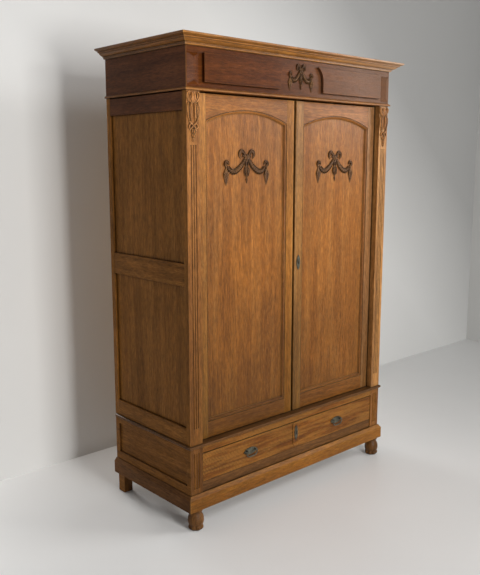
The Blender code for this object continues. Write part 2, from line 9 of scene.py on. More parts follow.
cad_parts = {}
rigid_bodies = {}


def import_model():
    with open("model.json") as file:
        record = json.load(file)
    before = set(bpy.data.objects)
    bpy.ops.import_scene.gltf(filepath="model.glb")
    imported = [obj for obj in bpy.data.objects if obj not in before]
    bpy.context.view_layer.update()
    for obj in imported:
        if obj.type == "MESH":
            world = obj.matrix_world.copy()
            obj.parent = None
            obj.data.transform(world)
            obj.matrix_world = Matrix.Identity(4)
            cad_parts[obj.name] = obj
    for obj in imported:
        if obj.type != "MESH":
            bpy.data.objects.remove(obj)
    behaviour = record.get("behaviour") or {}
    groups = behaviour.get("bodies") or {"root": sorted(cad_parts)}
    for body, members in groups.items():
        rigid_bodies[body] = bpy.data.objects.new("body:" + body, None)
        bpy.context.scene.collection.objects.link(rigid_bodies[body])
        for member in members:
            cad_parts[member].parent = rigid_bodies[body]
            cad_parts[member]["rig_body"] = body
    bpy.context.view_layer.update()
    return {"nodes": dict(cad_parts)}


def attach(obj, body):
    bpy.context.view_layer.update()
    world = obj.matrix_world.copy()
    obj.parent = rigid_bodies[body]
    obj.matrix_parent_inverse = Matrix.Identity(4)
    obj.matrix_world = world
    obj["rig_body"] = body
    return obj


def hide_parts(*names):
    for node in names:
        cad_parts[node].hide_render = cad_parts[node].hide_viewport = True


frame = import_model()
nodes = frame["nodes"]
sides = {"left": -1, "right": 1}
scene = bpy.context.scene

# Faces of the case that several pieces measure from, in metres.
caseHalf = 0.647
caseFront = -0.2615
caseBack = 0.3145
doorFace = -0.2335

print("camera")

# Metres, degrees and millimetres of lens.
view = {
    "place": (-2.432, -2.535, 1.570),
    "tilt": 80.2,
    "turn": -42.28,
    "lens": 45.15,
}
cameraData = bpy.data.cameras.new("viewCamera")
cameraData.lens = view["lens"]
cameraData.sensor_width = 36
cameraObject = bpy.data.objects.new("viewCamera", cameraData)
cameraObject.location = view["place"]
cameraObject.rotation_euler = (math.radians(view["tilt"]), 0, math.radians(view["turn"]))
scene.collection.objects.link(cameraObject)
scene.camera = cameraObject
scene.view_settings.view_transform = "Standard"

print("finishes")


def addNode(tree, kind, inputs=None, **settings):
    node = tree.nodes.new("ShaderNode" + kind)
    for key, value in settings.items():
        setattr(node, key, value)
    for key, value in (inputs or {}).items():
        if isinstance(value, bpy.types.NodeSocket):
            tree.links.new(value, node.inputs[key])
        else:
            node.inputs[key].default_value = value
    return node


def noiseOn(tree, place, stretch, detail=2.0, rough=0.5, bend=0.0, turn=0.0):
    # Noise drawn out along the first axis of the board.
    mapping = addNode(tree, "Mapping", {"Vector": place, "Scale": stretch})
    mapping.inputs["Rotation"].default_value = (0, 0, math.radians(turn))
    settings = {"Vector": mapping.outputs[0], "Scale": 1.0, "Detail": detail}
    settings.update({"Roughness": rough, "Distortion": bend})
    return addNode(tree, "TexNoise", settings).outputs["Fac"]


def spread(tree, value, low, high, to=(0.0, 1.0)):
    inputs = {"Value": value, "From Min": low, "From Max": high, "To Min": to[0], "To Max": to[1]}
    return addNode(tree, "MapRange", inputs).outputs[0]


def calc(tree, how, a, b):
    return addNode(tree, "Math", {0: a, 1: b}, operation=how).outputs[0]


def mixed(tree, share, a, b, how="MIX"):
    colours = [(*c, 1.0) if isinstance(c, tuple) and len(c) == 3 else c for c in (a, b)]
    node = addNode(tree, "Mix", None, data_type="RGBA", blend_type=how)
    for index, value in ((0, share), (6, colours[0]), (7, colours[1])):
        if isinstance(value, bpy.types.NodeSocket):
            tree.links.new(value, node.inputs[index])
        else:
            node.inputs[index].default_value = value
    return node.outputs[2]


def newMaterial(name):
    material = bpy.data.materials.new(name)
    material.use_nodes = True
    tree = material.node_tree
    return material, tree, tree.nodes["Principled BSDF"]


# What the oak finishes have in common. One entry each then gives a finish's colours, from the deepest
# grain to worn arrises, and how strong each part of its figure, its wear, its dirt and painted shade, and
# its painted highlight is.
oakCommon = {
    "figure": 0.12, "flecks": 0.25, "ticks": 0.0, "patina": 0.0, "rub": 0.45, "grime": 0.32,
    "chisel": 0.0, "bleach": 0.0, "glareFrom": -0.2, "glareTo": (0.235, 0.140, 0.085), "gloss": 0.15,
    "rough": 0.44,
}
oakLooks = {
    "oakCase": {
        "deep": (0.122, 0.042, 0.009), "middle": (0.230, 0.087, 0.020), "pale": (0.323, 0.139, 0.035),
        "worn": (0.404, 0.203, 0.065), "patina": 0.7,
    },
    "oakCasePale": {
        "deep": (0.191, 0.078, 0.022), "middle": (0.361, 0.163, 0.046), "pale": (0.505, 0.260, 0.083),
        "worn": (0.633, 0.380, 0.153), "patina": 0.25, "gloss": 0.22,
    },
    "oakSide": {
        "deep": (0.123, 0.046, 0.007), "middle": (0.223, 0.087, 0.016), "pale": (0.313, 0.134, 0.027),
        "worn": (0.397, 0.184, 0.052), "figure": 0.1, "patina": 0.15, "rub": 0.3, "gloss": 0.06,
        "rough": 0.46,
    },
    "oakPlinthSide": {
        "deep": (0.080, 0.031, 0.008), "middle": (0.145, 0.059, 0.017), "pale": (0.204, 0.090, 0.030),
        "worn": (0.259, 0.124, 0.057), "figure": 0.1, "patina": 0.15, "rub": 0.3, "gloss": 0.06,
        "rough": 0.46,
    },
    "oakDoor": {
        "deep": (0.144, 0.045, 0.007), "middle": (0.234, 0.084, 0.015), "pale": (0.309, 0.127, 0.029),
        "worn": (0.351, 0.176, 0.057), "figure": 0.1, "flecks": 0.4, "patina": 1.0, "rub": 0.6,
        "gloss": 0.2, "rough": 0.38,
    },
    "oakMeeting": {
        "deep": (0.156, 0.061, 0.013), "middle": (0.253, 0.113, 0.028), "pale": (0.334, 0.171, 0.055),
        "worn": (0.379, 0.238, 0.108), "figure": 0.1, "flecks": 0.4, "patina": 1.0, "rub": 0.9,
        "gloss": 0.2, "rough": 0.38,
    },
    "oakMoulding": {
        "deep": (0.153, 0.047, 0.007), "middle": (0.248, 0.088, 0.015), "pale": (0.328, 0.133, 0.029),
        "worn": (0.372, 0.185, 0.057), "figure": 0.1, "flecks": 0.4, "patina": 1.0, "rub": 1.0,
        "grime": 0.56, "gloss": 0.2, "rough": 0.38,
    },
    # A paler, bluer copy of the door finish: painted reflection of light, for the right door's outer stile.
    "oakDoorGlare": {
        "deep": (0.154, 0.061, 0.019), "middle": (0.250, 0.113, 0.039), "pale": (0.332, 0.172, 0.075),
        "worn": (0.377, 0.238, 0.145), "figure": 0.1, "flecks": 0.4, "patina": 1.0, "rub": 0.6,
        "gloss": 0.2, "rough": 0.38,
    },
    "oakDoorLight": {
        "deep": (0.183, 0.066, 0.012), "middle": (0.300, 0.123, 0.025), "pale": (0.395, 0.187, 0.049),
        "worn": (0.450, 0.260, 0.098), "figure": 0.1, "flecks": 0.4, "patina": 1.0, "rub": 0.9,
        "gloss": 0.2, "rough": 0.38,
    },
    "oakStile": {
        "deep": (0.178, 0.061, 0.011), "middle": (0.290, 0.115, 0.022), "pale": (0.383, 0.172, 0.041),
        "worn": (0.434, 0.243, 0.082), "figure": 0.1, "flecks": 0.4, "patina": 1.0, "rub": 1.0,
        "gloss": 0.12, "rough": 0.38,
    },
    "oakDrawer": {
        "deep": (0.066, 0.019, 0.002), "middle": (0.129, 0.042, 0.005), "pale": (0.198, 0.071, 0.008),
        "worn": (0.335, 0.161, 0.031), "figure": 0.05, "ticks": 0.8, "rub": 0.95, "rough": 0.4,
    },
    "oakSill": {
        "deep": (0.053, 0.021, 0.005), "middle": (0.101, 0.041, 0.010), "pale": (0.150, 0.065, 0.016),
        "worn": (0.242, 0.117, 0.034), "figure": 0.15, "flecks": 0.15, "ticks": 0.15, "rub": 0.25,
        "rough": 0.46,
    },
    "oakFoot": {
        "deep": (0.073, 0.029, 0.007), "middle": (0.138, 0.057, 0.015), "pale": (0.204, 0.090, 0.025),
        "worn": (0.329, 0.163, 0.054), "figure": 0.15, "flecks": 0.15, "ticks": 0.15, "rub": 0.25,
        "rough": 0.46,
    },
    "oakDark": {
        "deep": (0.045, 0.011, 0.002), "middle": (0.085, 0.023, 0.004), "pale": (0.120, 0.036, 0.007),
        "worn": (0.190, 0.075, 0.019), "flecks": 0.2, "rub": 0.9, "bleach": 0.33, "gloss": 0.06,
        "rough": 0.36,
    },
    "oakFriezeSide": {
        "deep": (0.059, 0.018, 0.005), "middle": (0.111, 0.035, 0.010), "pale": (0.157, 0.050, 0.014),
        "worn": (0.313, 0.131, 0.045), "figure": 0.1, "flecks": 0.12, "rub": 0.7, "gloss": 0.08,
        "rough": 0.46,
    },
    "oakCarved": {
        "deep": (0.036, 0.014, 0.004), "middle": (0.084, 0.033, 0.009), "pale": (0.150, 0.064, 0.017),
        "worn": (0.408, 0.198, 0.054), "figure": 0.0, "flecks": 0.0, "rub": 0.3, "grime": 0.55,
        "chisel": 1.0, "gloss": 0.25, "rough": 0.42,
    },
    "oakCarvedPost": {
        "deep": (0.302, 0.110, 0.024), "middle": (0.464, 0.184, 0.045), "pale": (0.605, 0.267, 0.075),
        "worn": (0.726, 0.385, 0.141), "figure": 0.0, "flecks": 0.0, "rub": 0.35, "grime": 0.55,
        "chisel": 0.7, "gloss": 0.4, "rough": 0.42,
    },
    "oakGold": {
        "deep": (0.155, 0.055, 0.009), "middle": (0.269, 0.103, 0.017), "pale": (0.363, 0.156, 0.031),
        "worn": (0.430, 0.237, 0.074), "flecks": 0.3, "bleach": 0.4, "glareFrom": 0.05,
        "glareTo": (0.540, 0.340, 0.200), "gloss": 0.28, "rough": 0.4,
    },
    "oakGoldSide": {
        "deep": (0.106, 0.035, 0.004), "middle": (0.185, 0.066, 0.008), "pale": (0.250, 0.100, 0.015),
        "worn": (0.296, 0.151, 0.037), "flecks": 0.3, "gloss": 0.28, "rough": 0.4,
    },
    "oakPlinth": {
        "deep": (0.103, 0.035, 0.004), "middle": (0.180, 0.065, 0.007), "pale": (0.242, 0.099, 0.012),
        "worn": (0.286, 0.150, 0.029), "flecks": 0.3, "rub": 0.75, "rough": 0.4,
    },
    "oakInner": {
        "deep": (0.160, 0.090, 0.041), "middle": (0.256, 0.156, 0.078), "pale": (0.344, 0.230, 0.129),
        "worn": (0.400, 0.295, 0.184), "figure": 0.25, "flecks": 0.15, "rub": 0.2, "gloss": 0.2,
        "rough": 0.68,
    },
}
# How finely each part of the grain is drawn, as repeats to a metre: along the board, then across it.
oakGrain = {
    "bands": (1.1, 30, 30),
    "flames": (32, 150, 150),
    "lines": (13, 420, 420),
    "pores": (60, 1150, 1150),
    "rings": (0.8, 5.0, 5.0),
    "ringCount": 80.0,
    "flecks": (38, 260, 260),
    "fleckPatches": (3.0, 9, 9),
    "tickWobble": (18, 60, 60),
    "tickRows": (4.0, 42, 42),
    "tickTurns": 720.0,
    "tickSlant": -300.0,
    "blotches": (2.3, 2.3, 1.7),
    "gouges": (170, 170, 230),
}
# What the years have done, and the painted shade and highlight, with distances and levels in metres.
oakAgeAndPaintedLight = {
    "lowShadeFrom": 1.15,
    "patinaTo": 0.25,
    "lowShadeLean": 0.35,
    "lowShadeTint": (0.42, 0.41, 0.22),
    "glareOver": 0.6,
    "dirtShadeReach": 0.010,
    "dirtShadeDark": 0.08,
    "rubReach": 0.0026,
}


def grainPattern(tree):
    # The patterns that colour, gloss and relief share.
    board = addNode(tree, "Attribute", None, attribute_name="grain").outputs["Vector"]
    place = addNode(tree, "TexCoord").outputs["Object"]
    return {
        "board": board,
        "place": place,
        "bands": noiseOn(tree, board, oakGrain["bands"], 6.0, 0.68, 0.12),
        "flames": noiseOn(tree, board, oakGrain["flames"], 3.0, 0.66, 0.25),
        "lines": noiseOn(tree, board, oakGrain["lines"], 3.0, 0.6),
        "pores": spread(tree, noiseOn(tree, board, oakGrain["pores"], 2.0), 0.60, 0.72),
        "blotches": noiseOn(tree, place, oakGrain["blotches"], 4.0, 0.6),
    }


def tickMarks(tree, board):
    # Short slanting flecks that stand side by side in rows.
    wobble = calc(tree, "MULTIPLY", noiseOn(tree, board, oakGrain["tickWobble"], 2.0), 5.0)
    parted = addNode(tree, "SeparateXYZ", {0: board})
    turns = calc(tree, "MULTIPLY", parted.outputs[0], oakGrain["tickTurns"])
    slant = calc(tree, "MULTIPLY", parted.outputs[1], oakGrain["tickSlant"])
    wave = calc(tree, "SINE", calc(tree, "ADD", calc(tree, "ADD", turns, slant), wobble), 0.0)
    rows = spread(tree, noiseOn(tree, board, oakGrain["tickRows"], 2.0, 0.5, 0.2, 4), 0.42, 0.56)
    return calc(tree, "MULTIPLY", spread(tree, wave, 0.1, 0.8), rows)


def woodColour(tree, pattern, look):
    # The colour of clean wood, with its growth rings, flecks and pores.
    board = pattern["board"]
    ramp = addNode(tree, "ValToRGB", {"Fac": pattern["bands"]})
    ramp.color_ramp.elements[0].position = 0.24
    ramp.color_ramp.elements[0].color = (*look["deep"], 1)
    ramp.color_ramp.elements[1].position = 0.80
    ramp.color_ramp.elements[1].color = (*look["pale"], 1)
    ramp.color_ramp.elements.new(0.50).color = (*look["middle"], 1)
    flameShade = spread(tree, pattern["flames"], 0.32, 0.68, (0.70, 1.30))
    colour = mixed(tree, 1.0, ramp.outputs[0], flameShade, "MULTIPLY")
    lineShade = spread(tree, pattern["lines"], 0.30, 0.70, (0.72, 1.25))
    colour = mixed(tree, 1.0, colour, lineShade, "MULTIPLY")
    if look["figure"]:
        rings = noiseOn(tree, board, oakGrain["rings"], 1.0, 0.4, 0.25)
        arches = calc(tree, "SINE", calc(tree, "MULTIPLY", rings, oakGrain["ringCount"]), 0.0)
        archShade = spread(tree, arches, -1.0, 1.0, (1.0 - look["figure"], 1.0 + look["figure"] / 3))
        colour = mixed(tree, 1.0, colour, archShade, "MULTIPLY")
    if look["flecks"]:
        flecks = spread(tree, noiseOn(tree, board, oakGrain["flecks"], 2.0, 0.5, 0.4, 12), 0.56, 0.68)
        patches = spread(tree, noiseOn(tree, board, oakGrain["fleckPatches"], 2.0), 0.4, 0.62)
        fleckShare = calc(tree, "MULTIPLY", calc(tree, "MULTIPLY", flecks, patches), look["flecks"])
        colour = mixed(tree, fleckShare, colour, look["worn"])
    if look["ticks"]:
        tickShare = calc(tree, "MULTIPLY", tickMarks(tree, board), look["ticks"])
        colour = mixed(tree, tickShare, colour, look["worn"])
    poreColour = tuple(c * 0.4 for c in look["deep"])
    return mixed(tree, calc(tree, "MULTIPLY", pattern["pores"], 0.5), colour, poreColour)


def agedColourAndPaintedLight(tree, pattern, look, colour):
    # Old wax and dirt stay in the corners, deepened by painted shade in corners and gaps; painted shade low
    # down and a painted highlight at one end join them, and hands have rubbed the arrises pale.
    blotches = pattern["blotches"]
    blotchShade = spread(tree, blotches, 0.30, 0.70, (0.76, 1.20))
    colour = mixed(tree, 1.0, colour, blotchShade, "MULTIPLY")
    spot = addNode(tree, "SeparateXYZ", {0: pattern["place"]})
    if look["patina"]:
        # Painted shade: the wood is painted darker low down and towards the left, where less light reaches
        # it.
        lean = calc(tree, "MULTIPLY", spot.outputs[0], oakAgeAndPaintedLight["lowShadeLean"])
        level = calc(tree, "ADD", spot.outputs[2], lean)
        lowShadeShare = spread(tree, level, oakAgeAndPaintedLight["lowShadeFrom"], oakAgeAndPaintedLight["patinaTo"], (0.0, look["patina"]))
        colour = mixed(tree, lowShadeShare, colour, oakAgeAndPaintedLight["lowShadeTint"], "MULTIPLY")
    if look["bleach"]:
        # Painted highlight: the right-hand end is painted paler and greyer, as a haze of reflected light.
        end = look["glareFrom"] + oakAgeAndPaintedLight["glareOver"]
        glareShare = spread(tree, spot.outputs[0], look["glareFrom"], end, (0.0, look["bleach"]))
        colour = mixed(tree, glareShare, colour, look["glareTo"])

    # Partly real dirt and partly painted shade: the colour darkens in creases, gaps and corners where the
    # surface is hemmed in.
    hollow = addNode(tree, "AmbientOcclusion", {"Distance": oakAgeAndPaintedLight["dirtShadeReach"]}, samples=8)
    dirtAndShade = spread(tree, hollow.outputs["AO"], look["grime"], 0.93, (oakAgeAndPaintedLight["dirtShadeDark"], 1.0))
    arris = addNode(tree, "AmbientOcclusion", {"Distance": oakAgeAndPaintedLight["rubReach"]}, samples=8, inside=True)
    rubbed = spread(tree, arris.outputs["AO"], 0.84, 0.45, (0.0, look["rub"]))
    rubbed = calc(tree, "MULTIPLY", rubbed, spread(tree, blotches, 0.35, 0.62, (0.35, 1.0)))
    colour = mixed(tree, rubbed, colour, look["worn"])
    return mixed(tree, 1.0, colour, dirtAndShade, "MULTIPLY")


def woodRelief(tree, pattern, look):
    relief = calc(tree, "MULTIPLY", pattern["lines"], 0.5)
    relief = calc(tree, "SUBTRACT", relief, calc(tree, "MULTIPLY", pattern["pores"], 0.8))
    relief = calc(tree, "ADD", relief, calc(tree, "MULTIPLY", pattern["flames"], 2.0))
    bump = addNode(tree, "Bump", {"Height": relief, "Strength": 0.45, "Distance": 0.0007})
    normal = bump.outputs[0]
    if look["chisel"]:
        # Cuts of the gouge across the carving.
        cuts = noiseOn(tree, pattern["place"], oakGrain["gouges"], 2.0, 0.6, 0.6)
        gouge = {"Height": cuts, "Strength": look["chisel"], "Distance": 0.006, "Normal": normal}
        normal = addNode(tree, "Bump", gouge).outputs[0]
    return normal


def makeOak(name, look):
    material, tree, shader = newMaterial(name)
    pattern = grainPattern(tree)
    colour = woodColour(tree, pattern, look)
    colour = agedColourAndPaintedLight(tree, pattern, look, colour)
    tree.links.new(colour, shader.inputs["Base Color"])
    sheen = spread(tree, pattern["blotches"], 0.3, 0.7, (look["rough"] + 0.07, look["rough"] - 0.06))
    sheen = calc(tree, "ADD", sheen, calc(tree, "MULTIPLY", pattern["pores"], 0.12))
    tree.links.new(sheen, shader.inputs["Roughness"])
    tree.links.new(woodRelief(tree, pattern, look), shader.inputs["Normal"])
    shader.inputs["Specular IOR Level"].default_value = look["gloss"]
    return material


def makeMetal(name, dark, light, crust, metallic, rough):
    material, tree, shader = newMaterial(name)
    place = addNode(tree, "TexCoord").outputs["Object"]
    cloud = noiseOn(tree, place, (55, 55, 55), 4.0, 0.65)
    grit = noiseOn(tree, place, (420, 420, 420), 2.0)
    colour = mixed(tree, spread(tree, cloud, 0.35, 0.65), dark, light)
    hollow = addNode(tree, "AmbientOcclusion", {"Distance": 0.006}, samples=6)
    shade = spread(tree, hollow.outputs["AO"], 0.9, 0.4, (0.0, 0.8))
    colour = mixed(tree, shade, colour, crust)
    tree.links.new(colour, shader.inputs["Base Color"])
    tree.links.new(spread(tree, cloud, 0.3, 0.7, (rough - 0.1, rough + 0.12)), shader.inputs["Roughness"])
    shader.inputs["Metallic"].default_value = metallic
    bump = addNode(tree, "Bump", {"Height": grit, "Strength": 0.3, "Distance": 0.0003})
    tree.links.new(bump.outputs[0], shader.inputs["Normal"])
    return material


finishes = {name: makeOak(name, {**oakCommon, **look}) for name, look in oakLooks.items()}
finishes["oldBrass"] = makeMetal(
    "oldBrass", (0.040, 0.038, 0.028), (0.125, 0.120, 0.088), (0.016, 0.022, 0.017), 0.70, 0.44
)
finishes["iron"] = makeMetal(
    "iron", (0.030, 0.026, 0.023), (0.090, 0.075, 0.062), (0.050, 0.024, 0.012), 0.8, 0.5
)

print("tools")

boards = random.Random(41)


def layGrain(mesh, grain):
    # The attribute holds (along, across, through) for the board that each face belongs to.
    shift = Vector([boards.uniform(-9, 9) for _ in range(3)])
    layer = mesh.attributes.new("grain", "FLOAT_VECTOR", "CORNER")
    order = {"x": (0, 2, 1), "y": (1, 2, 0), "z": (2, 0, 1)}
    for face in mesh.polygons:
        axis = grain(face.center, face.normal) if callable(grain) else grain
        for loop in face.loop_indices:
            place = mesh.vertices[mesh.loops[loop].vertex_index].co
            layer.data[loop].vector = Vector([place[i] for i in order[axis]]) + shift


def keepPiece(bm, name, finish, grain, standsFor=(), body=None, smooth=40, crisp=True):
    # Makes the object from the mesh, and lets it ride with the body of the pieces it stands for.
    bmesh.ops.recalc_face_normals(bm, faces=bm.faces)
    mesh = bpy.data.meshes.new(name)
    bm.to_mesh(mesh)
    bm.free()
    mesh.materials.append(finishes[finish])
    if grain:
        layGrain(mesh, grain)
    mesh.shade_smooth()
    mesh.set_sharp_from_angle(angle=math.radians(smooth))
    piece = bpy.data.objects.new(name, mesh)
    scene.collection.objects.link(piece)
    if crisp:
        flat = piece.modifiers.new("flatFaces", "WEIGHTED_NORMAL")
        flat.keep_sharp = True
        flat.weight = 100
    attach(piece, body or nodes[standsFor[0]]["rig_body"])
    if standsFor:
        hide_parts(*standsFor)
    return piece


def copyOf(node):
    # A copy of a piece of the frame, with its loose triangles merged into whole faces.
    bm = bmesh.new()
    bm.from_mesh(nodes[node].data)
    bmesh.ops.remove_doubles(bm, verts=bm.verts, dist=0.00003)
    bmesh.ops.dissolve_limit(
        bm, angle_limit=math.radians(0.8), verts=bm.verts, edges=bm.edges, use_dissolve_boundaries=False
    )
    return bm


def ease(bm, width=0.001, shortest=0.006, least=34, segments=2):
    # Takes the sharpness off the arrises.
    bm.edges.ensure_lookup_table()
    sharp = [
        edge
        for edge in bm.edges
        if len(edge.link_faces) == 2
        and edge.calc_length() > shortest
        and edge.calc_face_angle() > math.radians(least)
    ]
    bmesh.ops.bevel(
        bm, geom=sharp, offset=width, offset_type="OFFSET", segments=segments, profile=0.5,
        affect="EDGES", material=-1, clamp_overlap=True,
    )


def outerFaces(piece, finish, first=lambda face: abs(face.normal.x) > 0.7):
    # Gives some faces of a piece a finish of their own.
    piece.data.materials.append(finishes[finish])
    for face in piece.data.polygons:
        if first(face):
            face.material_index = 1


def easedPiece(node, finish, grain, width=0.001, **options):
    bm = copyOf(node)
    ease(bm, width)
    words = node.split("_")
    name = words[0] + "".join(word.capitalize() for word in words[1:])
    return keepPiece(bm, name, finish, grain, (node,), **options)


def sweep(bm, stations, ringed=True, around=False):
    # Draws the first outline on from station to station.
    verts = [bm.verts.new(place) for place in stations[0]]
    edges = [bm.edges.new(pair) for pair in zip(verts, verts[1:])]
    if ringed:
        edges.append(bm.edges.new((verts[-1], verts[0])))
    first = list(edges)
    for station in stations[1:]:
        index = {tuple(vert.co): i for i, vert in enumerate(verts)}
        made = bmesh.ops.extrude_edge_only(bm, edges=edges)["geom"]
        fresh = [item for item in made if isinstance(item, bmesh.types.BMVert)]
        verts = sorted(fresh, key=lambda vert: index[tuple(vert.co)])
        own = set(verts)
        edges = [
            item
            for item in made
            if isinstance(item, bmesh.types.BMEdge) and set(item.verts) <= own
        ]
        for vert, place in zip(verts, station):
            vert.co = place
    if around:
        bmesh.ops.bridge_loops(bm, edges=first + edges)
    elif ringed:
        bmesh.ops.edgeloop_fill(bm, edges=first)
        bmesh.ops.edgeloop_fill(bm, edges=edges)


def smoothPath(points, steps):
    # A smooth line through the given points.
    points = [Vector(point) for point in points]
    ends = [2 * points[0] - points[1]] + points + [2 * points[-1] - points[-2]]
    path = []
    for a, b, c, d in zip(ends, ends[1:], ends[2:], ends[3:]):
        for i in range(steps):
            t = i / steps
            path.append(
                0.5 * (2 * b + (c - a) * t + (2 * a - 5 * b + 4 * c - d) * t**2
                       + (3 * b - a - 3 * c + d) * t**3)
            )
    return path + [points[-1]]


def along(values, t):
    # The value at share t of an evenly spaced list.
    at = t * (len(values) - 1)
    i = min(int(at), len(values) - 2)
    return values[i] + (values[i + 1] - values[i]) * (at - i)


sections = {
    "round": [(-1.0, 0.0), (-0.92, 0.40), (-0.70, 0.72), (-0.38, 0.93), (0.0, 1.0),
              (0.38, 0.93), (0.70, 0.72), (0.92, 0.40), (1.0, 0.0)],
    "leaf": [(-1.0, 0.0), (-0.95, 0.45), (-0.66, 0.85), (-0.32, 0.92), (-0.10, 0.55), (0.10, 0.55),
             (0.32, 0.92), (0.66, 0.85), (0.95, 0.45), (1.0, 0.0)],
    "ribbon": [(-1.0, 0.0), (-1.0, 0.75), (-0.82, 1.0), (-0.60, 0.80), (0.0, 0.62), (0.60, 0.80),
               (0.82, 1.0), (1.0, 0.75), (1.0, 0.0)],
}


def carve(bm, points, widths, heights, surface, section="round", steps=5, sink=0.0004):
    # A carved strip along (x, z) points, standing forward from the plane y = surface.
    path = smoothPath(points, steps)
    stations = []
    for i, centre in enumerate(path):
        t = i / (len(path) - 1)
        way = path[min(i + 1, len(path) - 1)] - path[max(i - 1, 0)]
        way.normalize()
        across = Vector((-way.y, way.x))
        ring = []
        for u, lift in sections[section]:
            spot = centre + across * u * max(along(widths, t), 0.0004)
            ring.append((spot.x, surface + sink - lift * max(along(heights, t), 0.0004), spot.y))
        stations.append(ring)
    sweep(bm, stations)


print("base")

# The plain joinery keeps its shape and gets eased arrises and its own grain.
plainBoards = {
    "base_front_rail": ("oakDrawer", "x"),
    "base_sill": ("oakSill", "x"),
    "drawer_side_left": ("oakInner", "y"),
    "drawer_side_right": ("oakInner", "y"),
    "drawer_back": ("oakInner", "x"),
    "drawer_bottom": ("oakInner", "x"),
    "door_left_outer_stile": ("oakDoorLight", "z"),
    "door_left_meeting_stile": ("oakStile", "z"),
    "door_left_top_rail": ("oakDoor", "x"),
    "door_left_bottom_rail": ("oakDoor", "x"),
    # The right door's outer stile gets the painted reflection finish.
    "door_right_outer_stile": ("oakDoorGlare", "z"),
    "door_right_meeting_stile": ("oakMeeting", "z"),
    "door_right_top_rail": ("oakDoor", "x"),
    "door_right_bottom_rail": ("oakDoor", "x"),
    "post_back_left": ("oakSide", "z"),
    "post_back_right": ("oakSide", "z"),
    "side_rail_bottom_left": ("oakSide", "y"),
    "side_rail_bottom_right": ("oakSide", "y"),
    "side_rail_middle_left": ("oakSide", "y"),
    "side_rail_middle_right": ("oakSide", "y"),
    "side_panel_left": ("oakSide", "z"),
    "side_panel_right": ("oakSide", "z"),
    "base_top": ("oakSill", "x"),
    "cap_top": ("oakInner", "x"),
}
for node, (finish, grain) in plainBoards.items():
    easedPiece(node, finish, grain)


def topRail(word, openJoint=0.0045):
    # The rail has shrunk a little, so a dark joint shows under the frieze.
    node = f"side_rail_top_{word}"
    bm = copyOf(node)
    high = max(vert.co.z for vert in bm.verts)
    upper = [vert for vert in bm.verts if vert.co.z > high - 0.0001]
    bmesh.ops.translate(bm, verts=upper, vec=(0, 0, -openJoint))
    ease(bm)
    keepPiece(bm, f"sideRailTop{word.capitalize()}", "oakFriezeSide", "y", (node,))


for word in sides:
    topRail(word)


def baseGrain(centre, normal):
    # The corner post and the back leg stand, the board and the runner lie.
    post = centre.y < caseFront + 0.0255 and centre.z > 0.09
    return "z" if post or centre.z < 0.094 else "y"


for word in sides:
    outerFaces(easedPiece(f"base_side_{word}", "oakCase", baseGrain), "oakSide")

footLook = {
    # Where the middle of each foot stands, and its finish.
    "left": ((-0.608, -0.2435), "oakFoot"),
    "right": ((0.623, -0.2435), "oakSill"),
    # (height, radius, depth of the toes)
    "levels": [
        (0.0000, 0.0240, 0.000), (0.0015, 0.0285, 0.002), (0.0050, 0.0325, 0.006),
        (0.0110, 0.0340, 0.007), (0.0170, 0.0330, 0.006), (0.0215, 0.0305, 0.003),
        (0.0245, 0.0315, 0.001), (0.0330, 0.0345, 0.000), (0.0430, 0.0355, 0.000),
        (0.0540, 0.0345, 0.000), (0.0640, 0.0315, 0.000), (0.0715, 0.0275, 0.000),
        (0.0760, 0.0250, 0.000), (0.0800, 0.0245, 0.000), (0.0820, 0.0280, 0.000),
        (0.0860, 0.0300, 0.000), (0.0937, 0.0300, 0.000),
    ],
    "toes": 7,
    "points": 84,
}


def frontFoot(word):
    bm = bmesh.new()
    place, finish = footLook[word]
    centre = Vector(place)
    stations = []
    for height, radius, toe in footLook["levels"]:
        ring = []
        for i in range(footLook["points"]):
            turn = 2 * math.pi * i / footLook["points"]
            reach = radius - toe * (1 - abs(math.cos(turn * footLook["toes"] / 2)))
            ring.append((centre.x + reach * math.cos(turn), centre.y + reach * math.sin(turn), height))
        stations.append(ring)
    sweep(bm, stations)
    keepPiece(bm, f"footFront{word.capitalize()}", finish, "z", (f"foot_front_{word}",), crisp=False)


for word in sides:
    frontFoot(word)


def frontRun(profile, side=0):
    # The stations of a mitred moulding from (out, height) points: across the front, or along a side.
    miter = 0.0002
    if not side:
        return [
            [(way * (caseHalf + out - miter), caseFront - out, z) for out, z in profile]
            for way in (-1, 1)
        ]
    return [
        [(side * (caseHalf + out), caseFront - out + miter, z) for out, z in profile],
        [(side * (caseHalf + out), caseBack, z) for out, z in profile],
    ]


plinthProfile = [
    (0.0003, 0.0940), (0.0142, 0.0940), (0.0150, 0.0948), (0.0150, 0.1490), (0.0145, 0.1502),
    (0.0042, 0.1636), (0.0030, 0.1648), (0.0003, 0.1650),
]
for word, side in {"front": 0, **sides}.items():
    bm = bmesh.new()
    sweep(bm, frontRun(plinthProfile, side))
    finish = "oakPlinthSide" if side else "oakPlinth"
    name = f"plinth{word.capitalize()}"
    keepPiece(bm, name, finish, "y" if side else "x", (f"plinth_{word}",), smooth=30)

print("drawer")

easedPiece("drawer_front", "oakDrawer", "x", 0.0014)

pullLook = {
    "surface": caseFront + 0.002 - 0.0003,
    "ear": 0.042,
    "halfHeight": 0.0165,
    "thick": 0.0022,
    "rim": 0.0008,
    "standOff": 0.0095,
    "axis": 0.276 + 0.004,
    "knuckle": 0.024,
    "reach": 0.0315,
    "drop": 0.026,
    "radius": 0.0026,
    "height": 0.276,
    "apart": 0.299,
    "sides": 14,
}


